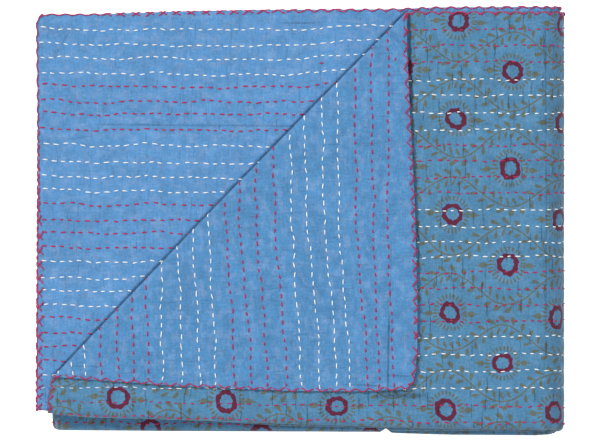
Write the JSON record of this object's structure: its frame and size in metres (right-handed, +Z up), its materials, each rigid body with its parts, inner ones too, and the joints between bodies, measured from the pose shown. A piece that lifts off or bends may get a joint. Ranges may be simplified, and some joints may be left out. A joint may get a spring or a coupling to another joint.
{
  "type": "folded quilted throw blanket",
  "caption": "Hand-quilted two-sided cotton throw folded into a flat packet, one corner turned back to show its plain side.",
  "frame": {"origin": "centre of the packet's bounding box, on the surface that it lies on", "axes": "+Z up out of the surface, +X along the throw's length towards the folded right-hand end, +Y towards the open edges at the back"},
  "size_m": [0.3864, 0.314, 0.0478],
  "materials": {
    "printed_cotton": "matt plain-weave cotton, block printed with maroon flower rings and olive vines",
    "plain_cotton": "matt plain-weave blue cotton with fine slubs",
    "white_thread": "soft twisted white cotton thread",
    "magenta_thread": "soft twisted magenta cotton thread"
  },
  "bodies": {
    "root": {"printed_face_panel": "printed_cotton", "plain_back_panel": "plain_cotton"}
  },
  "joints": []
}
